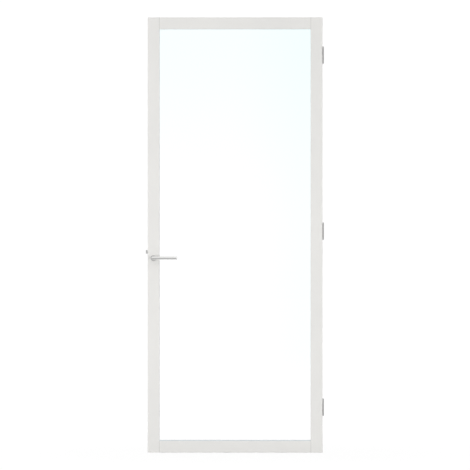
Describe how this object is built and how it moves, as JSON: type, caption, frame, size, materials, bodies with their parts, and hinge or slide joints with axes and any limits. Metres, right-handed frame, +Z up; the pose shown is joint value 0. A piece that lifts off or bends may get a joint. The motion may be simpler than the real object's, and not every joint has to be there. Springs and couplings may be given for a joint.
{
  "type": "glass door",
  "caption": "Tall hinged door leaf: one clear pane in a slim off-white frame, with a round lever, a sprung latch and butt hinges.",
  "frame": {"origin": "middle of the leaf's bottom edge, half way through its thickness", "axes": "+Z up the leaf, +X from the latch edge to the hinge edge, +Y from the front face to the rear, towards which the leaf opens"},
  "size_m": [0.9485, 0.153, 2.315],
  "materials": {
    "frame_paint": "satin off-white powder coat",
    "clear_glass": "clear toughened float, polished",
    "gasket_rubber": "pale translucent grey, matt",
    "lever_steel": "satin stainless steel",
    "hinge_steel": "satin stainless steel",
    "zinc_steel": "zinc plated",
    "spring_steel": "bright drawn wire",
    "bronze": "sintered bronze",
    "cleat_aluminium": "mill finish",
    "white_nylon": "moulded nylon",
    "block_plastic": "moulded polypropylene"
  },
  "bodies": {
    "jamb_side": {"hinge_jamb_plate_bottom": "hinge_steel", "hinge_jamb_plate_middle": "hinge_steel", "hinge_jamb_plate_top": "hinge_steel", "hinge_pin_bottom": "hinge_steel", "hinge_pin_middle": "hinge_steel", "hinge_pin_top": "hinge_steel", "hinge_washers": "bronze"},
    "leaf": {"bead_bottom": "frame_paint", "bead_hinge_side": "frame_paint", "bead_latch_side": "frame_paint", "bead_top": "frame_paint", "bottom_rail": "frame_paint", "bracket_screws": "hinge_steel", "corner_block_bottom_hinge": "cleat_aluminium", "corner_block_bottom_latch": "cleat_aluminium", "corner_block_top_hinge": "cleat_aluminium", "corner_block_top_latch": "cleat_aluminium", "edge_plugs": "white_nylon", "follower_spring": "spring_steel", "forend": "hinge_steel", "forend_bracket_bottom": "zinc_steel", "forend_bracket_top": "zinc_steel", "forend_screws": "hinge_steel", "front_gasket": "gasket_rubber", "glass_pane": "clear_glass", "hinge_backing_bottom": "zinc_steel", "hinge_backing_middle": "zinc_steel", "hinge_backing_top": "zinc_steel", "hinge_leaf_plate_bottom": "hinge_steel", "hinge_leaf_plate_middle": "hinge_steel", "hinge_leaf_plate_top": "hinge_steel", "hinge_screws": "hinge_steel", "hinge_stile": "frame_paint", "latch_case": "zinc_steel", "latch_case_cover": "zinc_steel", "latch_case_screws": "zinc_steel", "latch_spring": "spring_steel", "latch_stile": "frame_paint", "rail_screws": "zinc_steel", "rear_gasket": "gasket_rubber", "rose_base_front": "white_nylon", "rose_base_rear": "white_nylon", "rose_cap_front": "lever_steel", "rose_cap_rear": "lever_steel", "rose_screws": "zinc_steel", "setting_blocks": "block_plastic", "spacer_blocks": "block_plastic", "stile_cap_hinge_bottom": "white_nylon", "stile_cap_hinge_top": "white_nylon", "stile_cap_latch_bottom": "white_nylon", "stile_cap_latch_top": "white_nylon", "top_rail": "frame_paint"},
    "handle_set": {"lever_front": "lever_steel", "lever_rear": "lever_steel", "spindle": "zinc_steel", "follower": "zinc_steel", "grub_screws": "hinge_steel"},
    "latch": {"latch_bolt": "hinge_steel"}
  },
  "joints": [
    {"name": "leaf_swing", "type": "hinge", "parent": "jamb_side", "child": "leaf", "pos_m": [0.4665, 0.0275, 0], "axis": [0, 0, -1], "range_deg": [0, 175]},
    {"name": "lever_turn", "type": "hinge", "parent": "leaf", "child": "handle_set", "pos_m": [-0.434, 0, 1.035], "axis": [0, 1, 0], "range_deg": [0, 36], "stiffness_Nm_per_rad": 1.2, "springref_deg": -34.38, "deforming": ["follower_spring"]},
    {"name": "latch_slide", "type": "slide", "parent": "leaf", "child": "latch", "axis": [1, 0, 0], "range_m": [0, 0.0119], "stiffness_N_per_m": 300, "springref_m": -0.012, "deforming": ["latch_spring"]}
  ],
  "couplings": [
    {"joint": "latch_slide", "follows": "lever_turn", "m_per_rad": 0.0188}
  ]
}
